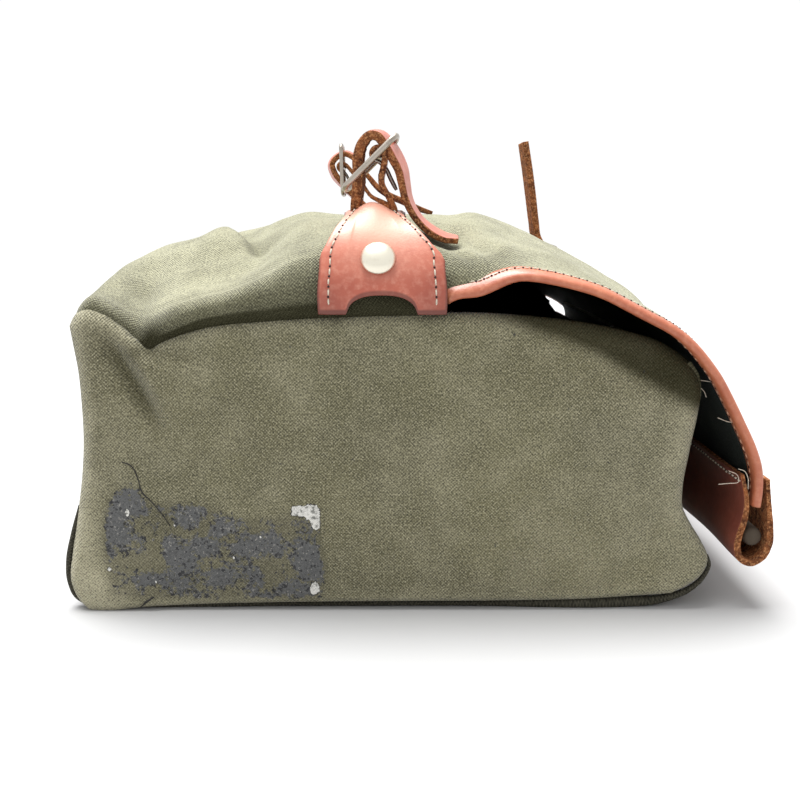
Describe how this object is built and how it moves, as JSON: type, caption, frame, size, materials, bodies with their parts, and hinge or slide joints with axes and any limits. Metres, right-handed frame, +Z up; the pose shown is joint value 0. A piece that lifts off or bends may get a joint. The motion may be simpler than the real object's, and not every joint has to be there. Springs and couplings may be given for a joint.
{
  "type": "messenger bag",
  "caption": "Deep boxy canvas messenger bag with a leather-bound flap, end patches and buckled lash straps.",
  "frame": {"origin": "middle of the bounding box's underside, on the surface the bag stands on", "axes": "+X from the back wall to the front, +Y along the bag's length from the near end to the far end, +Z up"},
  "size_m": [0.28, 0.3394, 0.2028],
  "materials": {
    "canvas": "waxed olive canvas, worn",
    "lining": "dark green woven lining",
    "leather": "smooth reddish-brown leather",
    "raw_leather": "thick strap leather with raw brown edges",
    "nickel": "polished nickel, slightly worn",
    "board": "stiff fibre board"
  },
  "bodies": {
    "bag": {"body_wrap": "canvas", "end_panel_near": "canvas", "end_panel_far": "canvas", "end_welt_near": "canvas", "end_welt_far": "canvas", "top_panel": "canvas", "base_board": "board", "inner_pocket": "lining", "mouth_facing": "canvas", "end_patch_near": "leather", "end_patch_far": "leather", "end_rivet_near": "nickel", "end_rivet_far": "nickel", "lash_strap_near": "raw_leather", "lash_strap_far": "raw_leather", "lash_buckle_near": "nickel", "lash_buckle_far": "nickel", "closure_snap_stud": "nickel"},
    "flap": {"flap_canvas": "canvas", "flap_lining": "lining", "flap_binding_near": "leather", "flap_binding_far": "leather", "flap_front_band": "leather", "closure_strap": "raw_leather", "closure_chape": "raw_leather", "closure_buckle": "nickel", "closure_snap_socket": "nickel"},
    "prong_near": {"lash_prong_near": "nickel"},
    "prong_far": {"lash_prong_far": "nickel"},
    "prong_closure": {"closure_prong": "nickel"}
  },
  "joints": [
    {"name": "flap_hinge", "type": "hinge", "parent": "bag", "child": "flap", "pos_m": [0.03125, 0, 0.151], "axis": [0, -1, 0], "range_deg": [0, 100]},
    {"name": "near_prong_turn", "type": "hinge", "parent": "bag", "child": "prong_near", "pos_m": [-0.01594, -0.134, 0.17862], "axis": [0, -1, 0], "range_deg": [-4, 3]},
    {"name": "far_prong_turn", "type": "hinge", "parent": "bag", "child": "prong_far", "pos_m": [-0.0452, 0.134, 0.1878], "axis": [0, -1, 0], "range_deg": [-4, 4]},
    {"name": "closure_prong_turn", "type": "hinge", "parent": "flap", "child": "prong_closure", "pos_m": [0.0492, 0, 0.1476], "axis": [0, -1, 0], "range_deg": [0, 5]}
  ]
}
